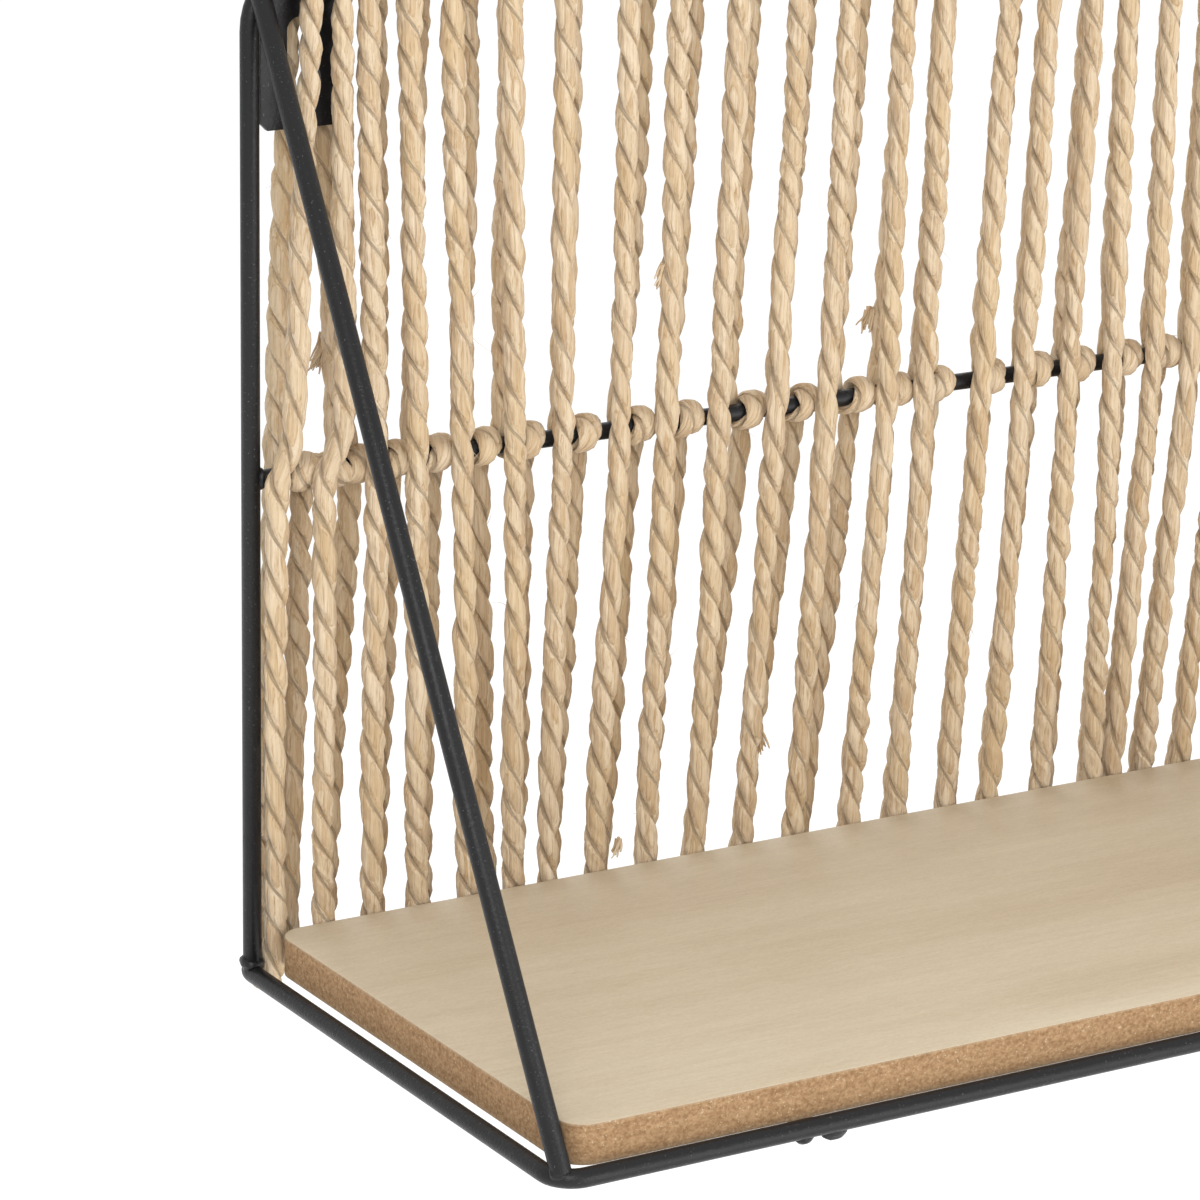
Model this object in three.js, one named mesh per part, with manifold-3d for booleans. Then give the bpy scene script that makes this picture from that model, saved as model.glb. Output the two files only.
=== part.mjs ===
// A wall shelf: a black wire frame with a rope panel wound on its back and a board lying in its base ring.
// Millimetres, +Z up, +Y towards the wall. The origin lies midway between the seats of the two
// keyhole slots, on the rear face of the hanging plates.

import * as THREE from "three";
import { mergeVertices } from "three/addons/utils/BufferGeometryUtils.js";
import Module from "manifold-3d";

// Driving sizes of the frame. X runs from the left upright's axis, Y from the rear hoop's plane
// and Z from the bottom ring's plane.
const SPAN = 396;
const HEIGHT = 217;
const DEPTH = 128.35;
const RUN_SET_BACK = 5.3;
const MID_HEIGHT = 108.5;
const GAP = 0.3;

// Wires
const WIRE_RADIUS = 2;
const MID_WIRE_RADIUS = 1.85;
const BRACE_RADIUS = 2.15;
const CROSS_WIRE_RADIUS = 1.8;
const WIRE_SIDES = 12;
const RING_BEND = 6;
const HOOP_BEND = 15;
const RING_BEND_STEPS = 4;
const HOOP_BEND_STEPS = 6;

// Braces, from the ring's front corner up to the hoop, both ends run into the wires and are coped
const BRACE_INSET = 1.33;
const BRACE_FOOT = { y: -127.65, z: -0.15 };
const BRACE_TOP = { y: 1.5, z: 215 };

// Wires under the board
const CROSS_WIRE_INSET = 59.2;
const CROSS_WIRE_Z = -0.9;

// Board
const BOARD_INSET = 3.8;
const BOARD_FRONT = -126.2;
const BOARD_REAR = -2.95;
const BOARD_BOTTOM = 1.2;
const BOARD_THICKNESS = 8.5;
const BOARD_CORNER = 6;

// Hanging plates with a keyhole each
const PLATE_THICKNESS = 1.2;
const PLATE_INNER_EDGE = 20;
const PLATE_BOTTOM = 181.4;
const PLATE_CHAMFER = 1.5;
const KEYHOLE = { x: 11, headZ: 191, headRadius: 5, seatZ: 201.5, slotRadius: 2.75 };

// Rope, wound round the top wire, the mid wire and the ring's back run
const ROPE_RADIUS = 2.35;
const ROPE_SIDES = 6;
const END_WRAP_RADIUS = 5;
const MID_WRAP_RADIUS = 4.8;
const FRONT_AT_MID = 4.9;
const HALF_TURN_STEPS = 4;
const FULL_TURN_STEPS = 8;
const KNOB_HALF_PITCH = 2.7;
const KNOB_EASE = 1.2;
const OVER_SHIFT = 6.7;
const UNDER_SHIFT = 6.8;
const ROPE_START = { z: 210, topX: 8.3, backX: 12.1, midX: 2.4, footX: 6.4 };
const ROPE_END_Z = 190;

// Where each front strand crosses the ring's back run, the mid wire and the top wire,
// and how far its back strand lies to the right of it at the top and at the foot, where not the usual way
const STRANDS = [
  { foot: 5.3, mid: 4.4, top: 13.1, over: 4.0, under: 8.4 },
  { foot: 17.2, mid: 15.6, top: 17.9, over: 6.1, under: 5.3 },
  { foot: 28.8, mid: 26.8, top: 24.4, over: 6.8, under: 5.9 },
  { foot: 40.1, mid: 36.6, top: 33.8, over: 7.9, under: 6.4 },
  { foot: 52.6, mid: 47.4, top: 43.6, over: 9.5, under: 10.2 },
  { foot: 64.0, mid: 60.1, top: 57.3, over: 5.9, under: 5.7 },
  { foot: 72.3, mid: 71.8, top: 70.9, over: 7.8, under: 6.1 },
  { foot: 84.1, mid: 86.0, top: 86.6, over: 10.5, under: 7.1 },
  { foot: 97.5, mid: 97.6, top: 99.3, over: 10.3, under: 5.4 },
  { foot: 110.0, mid: 110.9, top: 114.2, over: 9.4, under: 5.6 },
  { foot: 122.6, mid: 125.5, top: 129.1, over: 9.1, under: 5.6 },
  { foot: 135.8, mid: 138.7, top: 142.3, over: 9.4, under: 8.7 },
  { foot: 151.1, mid: 154.6, top: 156.0, over: 8.1, under: 6.3 },
  { foot: 164.0, mid: 164.6, top: 166.6, over: 7.8, under: 5.6 },
  { foot: 177.3, mid: 180.0, top: 184.5, over: 8.8, under: 7.3 },
  { foot: 189.7, mid: 191.2, top: 195.4, over: 7.4, under: 6.3 },
  { foot: 204.0, mid: 203.8, top: 206.9, under: 8.4 },
  { foot: 219.0, mid: 215.8, top: 216.1, over: 8.2, under: 5.7 },
  { foot: 224.2, mid: 227.4, top: 227.6, over: 8.6, under: 6.2 },
  { foot: 233.4, mid: 237.8, top: 239.3, under: 5.9 },
  { foot: 244.0, mid: 249.3, top: 251.0 },
  { foot: 256.0, mid: 261.0, top: 263.0 },
  { foot: 268.5, mid: 272.5, top: 274.5 },
  { foot: 280.5, mid: 284.5, top: 287.0 },
  { foot: 292.5, mid: 296.0, top: 298.5 },
  { foot: 305.0, mid: 308.5, top: 311.0 },
  { foot: 317.0, mid: 319.5, top: 322.0 },
  { foot: 329.5, mid: 331.0, top: 333.5 },
  { foot: 342.5, mid: 343.5, top: 345.0 },
  { foot: 354.5, mid: 355.0, top: 355.5 },
  { foot: 366.5, mid: 367.0, top: 365.5 },
  { foot: 378.5, mid: 378.5, top: 374.5, over: 5.5 },
  { foot: 390.0, mid: 390.0, top: 382.0, over: 5.0 },
];

const wireMaterial = new THREE.MeshStandardMaterial({ color: 0x333234, roughness: 0.45, metalness: 0.5 });
const boardMaterial = new THREE.MeshStandardMaterial({ color: 0xd0bf9f, roughness: 0.6, metalness: 0 });
const ropeMaterial = new THREE.MeshStandardMaterial({ color: 0xcfb48a, roughness: 0.85, metalness: 0 });

const manifold = await Module();
manifold.setup();

const point = (x, y, z) => new THREE.Vector3(x, y, z);
const mix = THREE.MathUtils.lerp;

// A path through fixed points, so that a tube gets one section at each of them
class Route extends THREE.Curve {
  constructor(points, closed) {
    super();
    this.points = points;
    this.closed = closed;
  }

  get steps() {
    return this.points.length - 1;
  }

  getPoint(t) {
    return this.points[Math.round(t * this.steps)].clone();
  }

  getPointAt(u) {
    return this.getPoint(u);
  }

  direction(segment) {
    const last = this.steps - 1;
    const wrapped = this.closed ? (segment + this.steps) % this.steps : THREE.MathUtils.clamp(segment, 0, last);
    return this.points[wrapped + 1].clone().sub(this.points[wrapped]).normalize();
  }

  getTangent(t) {
    const index = Math.round(t * this.steps);
    return this.direction(index - 1).add(this.direction(index)).normalize();
  }

  getTangentAt(u) {
    return this.getTangent(u);
  }
}

function roundSection(radius, sides) {
  const corners = [];
  for (let side = 0; side < sides; side++) {
    const angle = (2 * Math.PI * side) / sides;
    corners.push(new THREE.Vector2(radius * Math.cos(angle), radius * Math.sin(angle)));
  }
  return new THREE.Shape(corners);
}

// A closed tube's first and last sections coincide, so it is left without its two lids
function withoutLids(geometry) {
  const walls = geometry.groups.find((group) => group.materialIndex === 1);
  const positions = geometry.getAttribute("position").array.slice(walls.start * 3, (walls.start + walls.count) * 3);
  const open = new THREE.BufferGeometry();
  open.setAttribute("position", new THREE.BufferAttribute(positions, 3));
  return open;
}

function tube(points, radius, sides = WIRE_SIDES, closed = false) {
  const route = new Route(points, closed);
  const options = { steps: route.steps, extrudePath: route };
  const geometry = new THREE.ExtrudeGeometry(roundSection(radius, sides), options);
  return closed ? withoutLids(geometry) : geometry;
}

// Points on an arc between two angles in degrees, in the plane that place() gives
function arc(radius, fromAngle, toAngle, steps, place) {
  const points = [];
  for (let step = 0; step <= steps; step++) {
    const angle = THREE.MathUtils.degToRad(mix(fromAngle, toAngle, step / steps));
    points.push(place(radius * Math.cos(angle), radius * Math.sin(angle), step / steps));
  }
  return points;
}

function ringRoute() {
  const left = RING_BEND;
  const right = SPAN - RING_BEND;
  const front = -DEPTH + RING_BEND;
  const back = RUN_SET_BACK - RING_BEND;
  const bend = (x, y, from) =>
    arc(RING_BEND, from, from + 90, RING_BEND_STEPS, (dx, dy) => point(x + dx, y + dy, 0));
  const start = point(SPAN / 2, -DEPTH, 0);
  return [
    start,
    ...bend(right, front, -90),
    ...bend(right, back, 0),
    ...bend(left, back, 90),
    ...bend(left, front, 180),
    start.clone(),
  ];
}

function hoopRoute() {
  const foot = WIRE_RADIUS + GAP;
  const shoulder = HEIGHT - HOOP_BEND;
  const bend = (x, from, to) =>
    arc(HOOP_BEND, from, to, HOOP_BEND_STEPS, (dx, dz) => point(x + dx, 0, shoulder + dz));
  return [
    point(0, 0, foot),
    ...bend(HOOP_BEND, 180, 90),
    ...bend(SPAN - HOOP_BEND, 90, 0),
    point(SPAN, 0, foot),
  ];
}

// The height of the hoop's top wire at x, lower in its two bends
function topWireHeight(x) {
  const intoBend = Math.max(0, HOOP_BEND - x, x - (SPAN - HOOP_BEND));
  return HEIGHT - HOOP_BEND + Math.sqrt(HOOP_BEND ** 2 - intoBend ** 2);
}

function midWire() {
  const end = WIRE_RADIUS + GAP;
  return tube([point(end, 0, MID_HEIGHT), point(SPAN - end, 0, MID_HEIGHT)], MID_WIRE_RADIUS);
}

function toManifold(geometry) {
  const bare = new THREE.BufferGeometry();
  bare.setAttribute("position", geometry.getAttribute("position").clone());
  const merged = mergeVertices(bare, 1e-4);
  return new manifold.Manifold(
    new manifold.Mesh({
      numProp: 3,
      vertProperties: merged.getAttribute("position").array,
      triVerts: new Uint32Array(merged.index.array),
    }),
  );
}

function toGeometry(solid) {
  const mesh = solid.getMesh();
  const geometry = new THREE.BufferGeometry();
  geometry.setAttribute("position", new THREE.BufferAttribute(new Float32Array(mesh.vertProperties), 3));
  geometry.setIndex(new THREE.BufferAttribute(new Uint32Array(mesh.triVerts), 1));
  return geometry;
}

// A brace coped to the ring and the hoop, 0.3 mm clear of both
function brace(side) {
  const foot = point(side(BRACE_INSET), BRACE_FOOT.y, BRACE_FOOT.z);
  const top = point(side(BRACE_INSET), BRACE_TOP.y, BRACE_TOP.z);
  const ringRoom = toManifold(tube(ringRoute(), WIRE_RADIUS + GAP, WIRE_SIDES, true));
  const hoopRoom = toManifold(tube(hoopRoute(), WIRE_RADIUS + GAP));
  const coped = toManifold(tube([foot, top], BRACE_RADIUS)).subtract(ringRoom).subtract(hoopRoom);
  const pieces = coped.decompose().sort((a, b) => b.volume() - a.volume());
  return toGeometry(pieces[0]);
}

function crossWire(side) {
  const x = side(CROSS_WIRE_INSET);
  const front = -DEPTH + WIRE_RADIUS + GAP;
  const back = RUN_SET_BACK - WIRE_RADIUS - GAP;
  return tube([point(x, front, CROSS_WIRE_Z), point(x, back, CROSS_WIRE_Z)], CROSS_WIRE_RADIUS);
}

function shelfBoard() {
  const left = BOARD_INSET;
  const right = SPAN - BOARD_INSET;
  const outline = new THREE.Shape();
  outline.absarc(right - BOARD_CORNER, BOARD_FRONT + BOARD_CORNER, BOARD_CORNER, -Math.PI / 2, 0);
  outline.absarc(right - BOARD_CORNER, BOARD_REAR - BOARD_CORNER, BOARD_CORNER, 0, Math.PI / 2);
  outline.absarc(left + BOARD_CORNER, BOARD_REAR - BOARD_CORNER, BOARD_CORNER, Math.PI / 2, Math.PI);
  outline.absarc(left + BOARD_CORNER, BOARD_FRONT + BOARD_CORNER, BOARD_CORNER, Math.PI, 1.5 * Math.PI);
  const options = { depth: BOARD_THICKNESS, bevelEnabled: false, curveSegments: 6 };
  return new THREE.ExtrudeGeometry(outline, options).translate(0, 0, BOARD_BOTTOM);
}

function keyhole(x) {
  const { headZ, headRadius, seatZ, slotRadius } = KEYHOLE;
  const meet = Math.acos(slotRadius / headRadius);
  const hole = new THREE.Path();
  hole.absarc(x, headZ, headRadius, meet, Math.PI - meet, true);
  hole.absarc(x, seatZ, slotRadius, Math.PI, 0, true);
  hole.closePath();
  return hole;
}

// The plate fills the hoop's top corner. Its outline is drawn for the left side in X and Z
function hangingPlate(side) {
  const edge = WIRE_RADIUS + GAP;
  const top = HEIGHT - WIRE_RADIUS - GAP;
  const bottom = PLATE_BOTTOM;
  const inner = PLATE_INNER_EDGE;
  const cornerRadius = HOOP_BEND - WIRE_RADIUS - GAP;
  const corner = arc(cornerRadius, 180, 90, HOOP_BEND_STEPS, (dx, dz) =>
    new THREE.Vector2(HOOP_BEND + dx, HEIGHT - HOOP_BEND + dz));
  const corners = [
    new THREE.Vector2(edge + PLATE_CHAMFER, bottom),
    new THREE.Vector2(edge, bottom + PLATE_CHAMFER),
    ...corner,
    new THREE.Vector2(inner - PLATE_CHAMFER, top),
    new THREE.Vector2(inner, top - PLATE_CHAMFER),
    new THREE.Vector2(inner, bottom + PLATE_CHAMFER),
    new THREE.Vector2(inner - PLATE_CHAMFER, bottom),
  ];
  const placed = corners.map((corner) => new THREE.Vector2(side(corner.x), corner.y));
  // The keyhole is drawn clockwise, so the outline has to run the other way on both sides
  const outline = new THREE.Shape(THREE.ShapeUtils.isClockWise(placed) ? placed.reverse() : placed);
  outline.holes.push(keyhole(side(KEYHOLE.x)));
  const options = { depth: PLATE_THICKNESS, bevelEnabled: false, curveSegments: 12 };
  return new THREE.ExtrudeGeometry(outline, options).rotateX(Math.PI / 2).translate(0, PLATE_THICKNESS / 2, 0);
}

// Over the top wire, from the front to the back
function overTop(fromX, toX) {
  return arc(END_WRAP_RADIUS, 180, 0, HALF_TURN_STEPS, (dy, dz, along) => {
    const x = mix(fromX, toX, along);
    return point(x, dy, topWireHeight(x) + dz);
  });
}

// Under the ring's back run, from the back to the front
function underRun(fromX, toX) {
  return arc(END_WRAP_RADIUS, 0, -180, HALF_TURN_STEPS, (dy, dz, along) =>
    point(mix(fromX, toX, along), RUN_SET_BACK + dy, dz));
}

// One full turn round the mid wire: behind, under, in front, over and behind again.
// The turn shifts sideways mostly behind the wire, so its front shows as an upright knob
function roundMidWire(centreX) {
  return arc(MID_WRAP_RADIUS, 0, -360, FULL_TURN_STEPS, (dy, dz, along) => {
    const fromFront = 2 * along - 1;
    const shift = Math.sign(fromFront) * Math.abs(fromFront) ** KNOB_EASE * KNOB_HALF_PITCH;
    return point(centreX + shift, dy, MID_HEIGHT + dz);
  });
}

// The whole rope in one length, from its loose end in front of the top wire at the left
// to its other end behind the top wire at the right
function ropeRoute() {
  const start = ROPE_START;
  const route = [
    point(start.topX, -END_WRAP_RADIUS, start.z),
    ...overTop(start.topX, start.backX),
    point(start.midX, MID_WRAP_RADIUS, MID_HEIGHT),
    ...underRun(start.footX, STRANDS[0].foot),
  ];
  STRANDS.forEach((strand, index) => {
    const { over = OVER_SHIFT, under = UNDER_SHIFT } = strand;
    const next = STRANDS[index + 1];
    route.push(point(strand.mid, -FRONT_AT_MID, MID_HEIGHT));
    route.push(...overTop(strand.top, strand.top + over));
    if (next) {
      route.push(...roundMidWire((strand.mid + next.mid) / 2));
      route.push(...underRun(strand.foot + under, next.foot));
    } else {
      route.push(point(strand.top + over, END_WRAP_RADIUS, ROPE_END_Z));
    }
  });
  return route;
}

const shelf = new THREE.Group();
shelf.position.set(-SPAN / 2, -PLATE_THICKNESS / 2, -KEYHOLE.seatZ);

function add(name, geometry, material) {
  const mesh = new THREE.Mesh(geometry, material);
  mesh.name = name;
  shelf.add(mesh);
}

const SIDES = {
  left: (x) => x,
  right: (x) => SPAN - x,
};

add("bottom_ring", tube(ringRoute(), WIRE_RADIUS, WIRE_SIDES, true), wireMaterial);
add("rear_hoop", tube(hoopRoute(), WIRE_RADIUS), wireMaterial);
add("mid_wire", midWire(), wireMaterial);
for (const [name, side] of Object.entries(SIDES)) {
  add(`brace_${name}`, brace(side), wireMaterial);
  add(`cross_wire_${name}`, crossWire(side), wireMaterial);
  add(`hanging_plate_${name}`, hangingPlate(side), wireMaterial);
}
add("shelf_board", shelfBoard(), boardMaterial);
add("rope", tube(ropeRoute(), ROPE_RADIUS, ROPE_SIDES), ropeMaterial);

export default shelf;
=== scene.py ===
"""A wall shelf: a bent wire frame, a rope panel wound on its back and a board lying in its base ring.

Metres, +Z up and +Y towards the wall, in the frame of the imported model.
"""

import math
import random

import bmesh
import bpy
import numpy as np
from mathutils import Matrix, Vector, noise


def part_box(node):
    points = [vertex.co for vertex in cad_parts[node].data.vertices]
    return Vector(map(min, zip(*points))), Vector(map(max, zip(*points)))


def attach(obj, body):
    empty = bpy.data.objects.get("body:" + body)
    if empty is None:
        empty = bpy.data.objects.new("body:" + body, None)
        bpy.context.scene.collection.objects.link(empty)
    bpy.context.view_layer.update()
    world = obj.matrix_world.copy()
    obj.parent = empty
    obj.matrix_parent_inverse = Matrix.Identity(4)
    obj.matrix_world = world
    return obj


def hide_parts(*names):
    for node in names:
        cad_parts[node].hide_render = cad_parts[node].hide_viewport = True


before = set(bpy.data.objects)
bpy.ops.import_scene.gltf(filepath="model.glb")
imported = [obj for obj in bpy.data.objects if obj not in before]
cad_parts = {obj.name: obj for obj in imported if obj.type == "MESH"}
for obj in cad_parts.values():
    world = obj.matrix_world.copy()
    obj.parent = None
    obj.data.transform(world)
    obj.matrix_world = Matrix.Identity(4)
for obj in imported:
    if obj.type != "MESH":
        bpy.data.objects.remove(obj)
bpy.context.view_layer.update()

bl_info = {
    "name": "Rope wall shelf",
    "version": (1, 0, 0),
    "blender": (4, 5, 0),
    "location": "3D View > Sidebar > Shelf",
    "description": "Makes a wire wall shelf with a wound rope back and a wooden board",
    "category": "Add Mesh",
}

MM = 0.001

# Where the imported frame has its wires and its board
RING_LOW, RING_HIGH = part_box("bottom_ring")
HOOP_LOW, HOOP_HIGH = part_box("rear_hoop")
MID_LOW, MID_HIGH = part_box("mid_wire")
BOARD_LOW, BOARD_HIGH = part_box("shelf_board")
WIRE_RADIUS = (RING_HIGH.z - RING_LOW.z) / 2
MID_RADIUS = (MID_HIGH.z - MID_LOW.z) / 2
LEFT_X = HOOP_LOW.x + WIRE_RADIUS
RIGHT_X = HOOP_HIGH.x - WIRE_RADIUS
HOOP_Y = (HOOP_LOW.y + HOOP_HIGH.y) / 2
RING_Z = (RING_LOW.z + RING_HIGH.z) / 2
TOP_Z = HOOP_HIGH.z - WIRE_RADIUS
MID_Z = (MID_LOW.z + MID_HIGH.z) / 2
FRONT_Y = RING_LOW.y + WIRE_RADIUS
RUN_Y = RING_HIGH.y - WIRE_RADIUS

# Wires
RING_BEND = 6 * MM
HOOP_BEND = 15 * MM
WIRE_SIDES = 24
BEND_STEPS = 10

# A wire's cut end: how long its rounding is, for its radius, in what shares, and how each one narrows
END_ROUNDING = 0.3
END_SHARES = (0.7, 0.3)
END_NARROWING = 0.87

# How far short of the next wire's middle a wire ends, for the radius of the ring's wire
HOOP_SHORT = 0.4
MID_SHORT = 0.5
UNDER_SHORT = 0.6

# Where a brace's ends lie off the ring's front wire and off the top wire, in millimetres back and up
BRACE_FOOT_OFF = (1.2, 0.6)
BRACE_TOP_OFF = (0.2, -3.0)

# Lumps of weld: where each lies off its joint, and its half sizes, in millimetres across, back and up
WELDS = {
    "nub": {"off": (0, 0.4, 0), "half": (2.2, 1.3, 1.4)},
    "wide_nub": {"off": (0, 0.4, 0), "half": (3.0, 1.3, 1.75)},
    "hoop_foot": {"off": (0, 0.4, 2.6), "half": (2.5, 2.6, 1.8)},
    "mid_end": {"off": (1.9, 0, 0), "half": (1.3, 2.2, 2.5)},
    "brace_foot": {"off": (0, 1.0, 0.6), "half": (2.4, 2.3, 2.2)},
    "brace_top": {"off": (0, -1.6, -2.4), "half": (2.5, 2.3, 3.1)},
    "under_end": {"off": (0, 2.0, 0), "half": (2.3, 1.3, 2.0)},
}
WELD_UNEVENNESS = 0.16
WELD_GRAIN = 1.6

# How far from the shelf's middle the nubs stand under the front wire, in millimetres
NUB_PLACES = {"nub": 141.5, "wide_nub": 134.4}

# Board
BOARD_CORNER_STEPS = 10
BOARD_RIM = 0.3 * MM
BOARD_RIM_STEPS = 2
BOARD_SHARP_ANGLE = 50
FLAT_FACE = 0.8

# The rope's route: how far its middle lies from the wires' middles, over what height a strand steps sideways
# at the mid wire, how fine its turns are and how often the line is eased
WRAP_RADIUS = 5.0 * MM
FRONT_AT_MID = 4.9 * MM
STEP_HEIGHT = 9 * MM
HALF_TURN_STEPS = 12
EASING_ROUNDS = 3

# The turns round the mid wire, where the rope is pressed flat: how far the rope's middle lies from the
# wire's, in millimetres, and how flat and wide it is for its own size. The last quarter turn lies over the
# first one. The rope is pressed within the reach of the wire's middle, and more so over the fade
KNOB_RADIUS = 3.05
KNOB_LAST_RADIUS = 4.6
KNOB_LAST_TURN = 0.25
KNOB_FLAT = 0.52
KNOB_WIDE = 1.22
PRESS_REACH = 5.2 * MM
PRESS_FADE = 1.8 * MM

# What a strand takes where its row leaves the value out, in millimetres
OVER_SHIFT = 6.7
UNDER_SHIFT = 6.8
REACH_SHIFT = 4.6
LEAVE_SHIFT = 8.3
KNOB_BEFORE_LEAVE = 1.3

# The rope as it is wound. The rows say where each front strand crosses the ring's back run, the mid wire and
# the top wire, in millimetres from the left upright. Its back strand lies to the right of it by over at the
# top, by reach where it meets the mid wire, by leave where it leaves that wire and by under at the foot.
# Knobs says how far to the right of it the turns round the mid wire show in front. Above is where a strand
# that steps sideways at the mid wire stands just over it
ROPE_START = {"z": 210.0, "top": 7.4, "back": 12.1, "mid": 8.2, "foot": 6.4}
ROPE_END_Z = 190.0
STRANDS = [
    {
        "foot": 5.3, "mid": 3.6, "above": 7.4, "top": 12.0, "over": 5.0, "under": 8.4,
        "reach": 18.3, "leave": 10.8, "knobs": (16.0, 11.4, 7.0),
    },
    {
        "foot": 17.2, "mid": 14.6, "above": 19.2, "top": 18.7, "over": 4.9, "under": 5.3,
        "reach": 9.2, "leave": 11.3, "knobs": (10.4,),
    },
    {"foot": 28.8, "mid": 26.8, "top": 24.4, "over": 6.8, "under": 5.9, "leave": 8.6},
    {"foot": 40.1, "mid": 36.6, "top": 33.8, "over": 7.9, "under": 6.4, "reach": 2.7, "leave": 8.4},
    {"foot": 52.6, "mid": 47.4, "top": 43.6, "over": 9.5, "under": 10.2, "reach": 4.3, "leave": 9.1},
    {"foot": 64.0, "mid": 60.1, "top": 57.3, "over": 5.9, "under": 5.7, "reach": 1.0, "leave": 7.3},
    {"foot": 72.3, "mid": 71.8, "top": 70.9, "over": 7.8, "under": 6.1, "reach": 3.8, "leave": 9.4},
    {"foot": 84.1, "mid": 86.0, "top": 86.6, "over": 10.5, "under": 7.1, "reach": 4.2, "leave": 8.9},
    {"foot": 97.5, "mid": 97.6, "top": 99.3, "over": 10.3, "under": 5.4, "reach": 4.6, "leave": 9.3},
    {"foot": 110.0, "mid": 110.9, "top": 114.2, "over": 9.4, "under": 5.6, "reach": 6.7, "leave": 12.4},
    {"foot": 122.6, "mid": 125.5, "top": 129.1, "over": 9.1, "under": 5.6, "reach": 4.8, "leave": 11.5},
    {"foot": 135.8, "mid": 138.7, "top": 142.3, "over": 9.4, "under": 8.7, "reach": 6.1, "leave": 13.0},
    {"foot": 151.1, "mid": 154.6, "top": 156.0, "over": 8.1, "under": 6.3, "reach": 2.9, "leave": 6.8},
    {"foot": 164.0, "mid": 164.6, "top": 166.6, "over": 7.8, "under": 5.6, "reach": 3.7, "leave": 8.2},
    {"foot": 177.3, "mid": 180.0, "top": 184.5, "over": 8.8, "under": 7.3, "reach": 4.6, "leave": 6.7},
    {"foot": 189.7, "mid": 191.2, "top": 195.4, "over": 7.4, "under": 6.3, "reach": 4.6, "leave": 8.3},
    {"foot": 204.0, "mid": 203.8, "top": 206.9, "under": 8.4, "reach": 3.3, "leave": 7.4},
    {"foot": 219.0, "mid": 215.8, "top": 216.1, "over": 8.2, "under": 5.7, "reach": 4.3, "leave": 8.6},
    {"foot": 224.2, "mid": 227.4, "top": 227.6, "over": 8.6, "under": 6.2, "reach": 4.6, "leave": 8.0},
    {"foot": 233.4, "mid": 237.8, "top": 239.3, "under": 5.9, "reach": 5.0, "leave": 8.3},
    {"foot": 244.0, "mid": 249.3, "top": 251.0},
    {"foot": 256.0, "mid": 261.0, "top": 263.0},
    {"foot": 268.5, "mid": 272.5, "top": 274.5},
    {"foot": 280.5, "mid": 284.5, "top": 287.0},
    {"foot": 292.5, "mid": 296.0, "top": 298.5},
    {"foot": 305.0, "mid": 308.5, "top": 311.0},
    {"foot": 317.0, "mid": 319.5, "top": 322.0},
    {"foot": 329.5, "mid": 331.0, "top": 333.5},
    {"foot": 342.5, "mid": 343.5, "top": 345.0},
    {"foot": 354.5, "mid": 355.0, "top": 355.5},
    {"foot": 366.5, "mid": 367.0, "top": 365.5},
    {"foot": 378.5, "mid": 378.5, "top": 374.5, "over": 5.5},
    {"foot": 390.0, "mid": 390.0, "top": 382.0, "over": 5.0},
]
ROPE_PIECES = ("rope_left", "rope_middle", "rope_right")

# Torn shreds that stand off the rope: where each starts, where it points, how long it is and how many
# fibres it has. Millimetres from the left upright, the hoop's plane and the ring's plane
SHREDS = [
    {"start": (20.6, 5.5, 135.5), "way": (-0.4, -0.1, -1.0), "length": 10.0, "fibres": 34, "spread": 1.2},
    {"start": (155.9, 5.0, 126.5), "way": (-0.18, -0.3, -1.0), "length": 6.5, "fibres": 22, "spread": 1.3},
    {"start": (95.9, -4.5, 145.0), "way": (-0.25, 0.1, -1.0), "length": 7.5, "fibres": 6, "spread": 0.8},
    {"start": (129.6, 5.0, 33.5), "way": (0.2, -0.2, -1.0), "length": 8.0, "fibres": 12, "spread": 1.0},
    {"start": (90.5, 0.0, 15.0), "way": (-0.5, -0.6, -1.0), "length": 6.0, "fibres": 9, "spread": 0.8},
]

# The rope's section: two oval plies side by side. How far each ply's middle lies from the rope's, its half
# sizes, how many points go round the section and how they crowd
PLY_OFFSET = 1.08 * MM
PLY_HALF_ALONG = 1.5 * MM
PLY_HALF_ACROSS = 1.95 * MM
SECTION_POINTS = 20
SECTION_CROWDING = 0.09
ROPE_FULLNESS = 0.95
ROPE_SHARP_ANGLE = 38

# How far the groove between the plies is filled, how much of its painted shade is then gone, and how far the
# second ply is shifted in the pattern of fibres, so that the two aren't alike
GROOVE_FILL = 0.22
GROOVE_PALING = 0.8
PLY_SHIFT = 7 * MM

# How the rope changes along its length: how far apart the changes are, how strong they are and their seed
CHANGES = {
    "sideways": {"every": 31 * MM, "by": 1.0, "seed": 11},
    "in_depth": {"every": 38 * MM, "by": 0.7, "seed": 12},
    "lay": {"every": 60 * MM, "by": 0.3, "seed": 21},
    "fine_lay": {"every": 22 * MM, "by": 0.09, "seed": 25},
    "thickness": {"every": 26 * MM, "by": 0.06, "seed": 22},
    "fine_thickness": {"every": 8 * MM, "by": 0.045, "seed": 23},
    "groove": {"every": 9 * MM, "by": 0.55, "seed": 24},
    "lumps": {"every": 4.5 * MM, "by": 0.13, "seed": 100},
    "bulges": {"every": 11 * MM, "by": 0.2, "seed": 200},
}
BULGE_SPREADING = 3

# The rope strays from its straight runs only from this far off the wires, and fully after this much more
FREE_FROM = 9 * MM
FREE_RISE = 22 * MM

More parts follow.
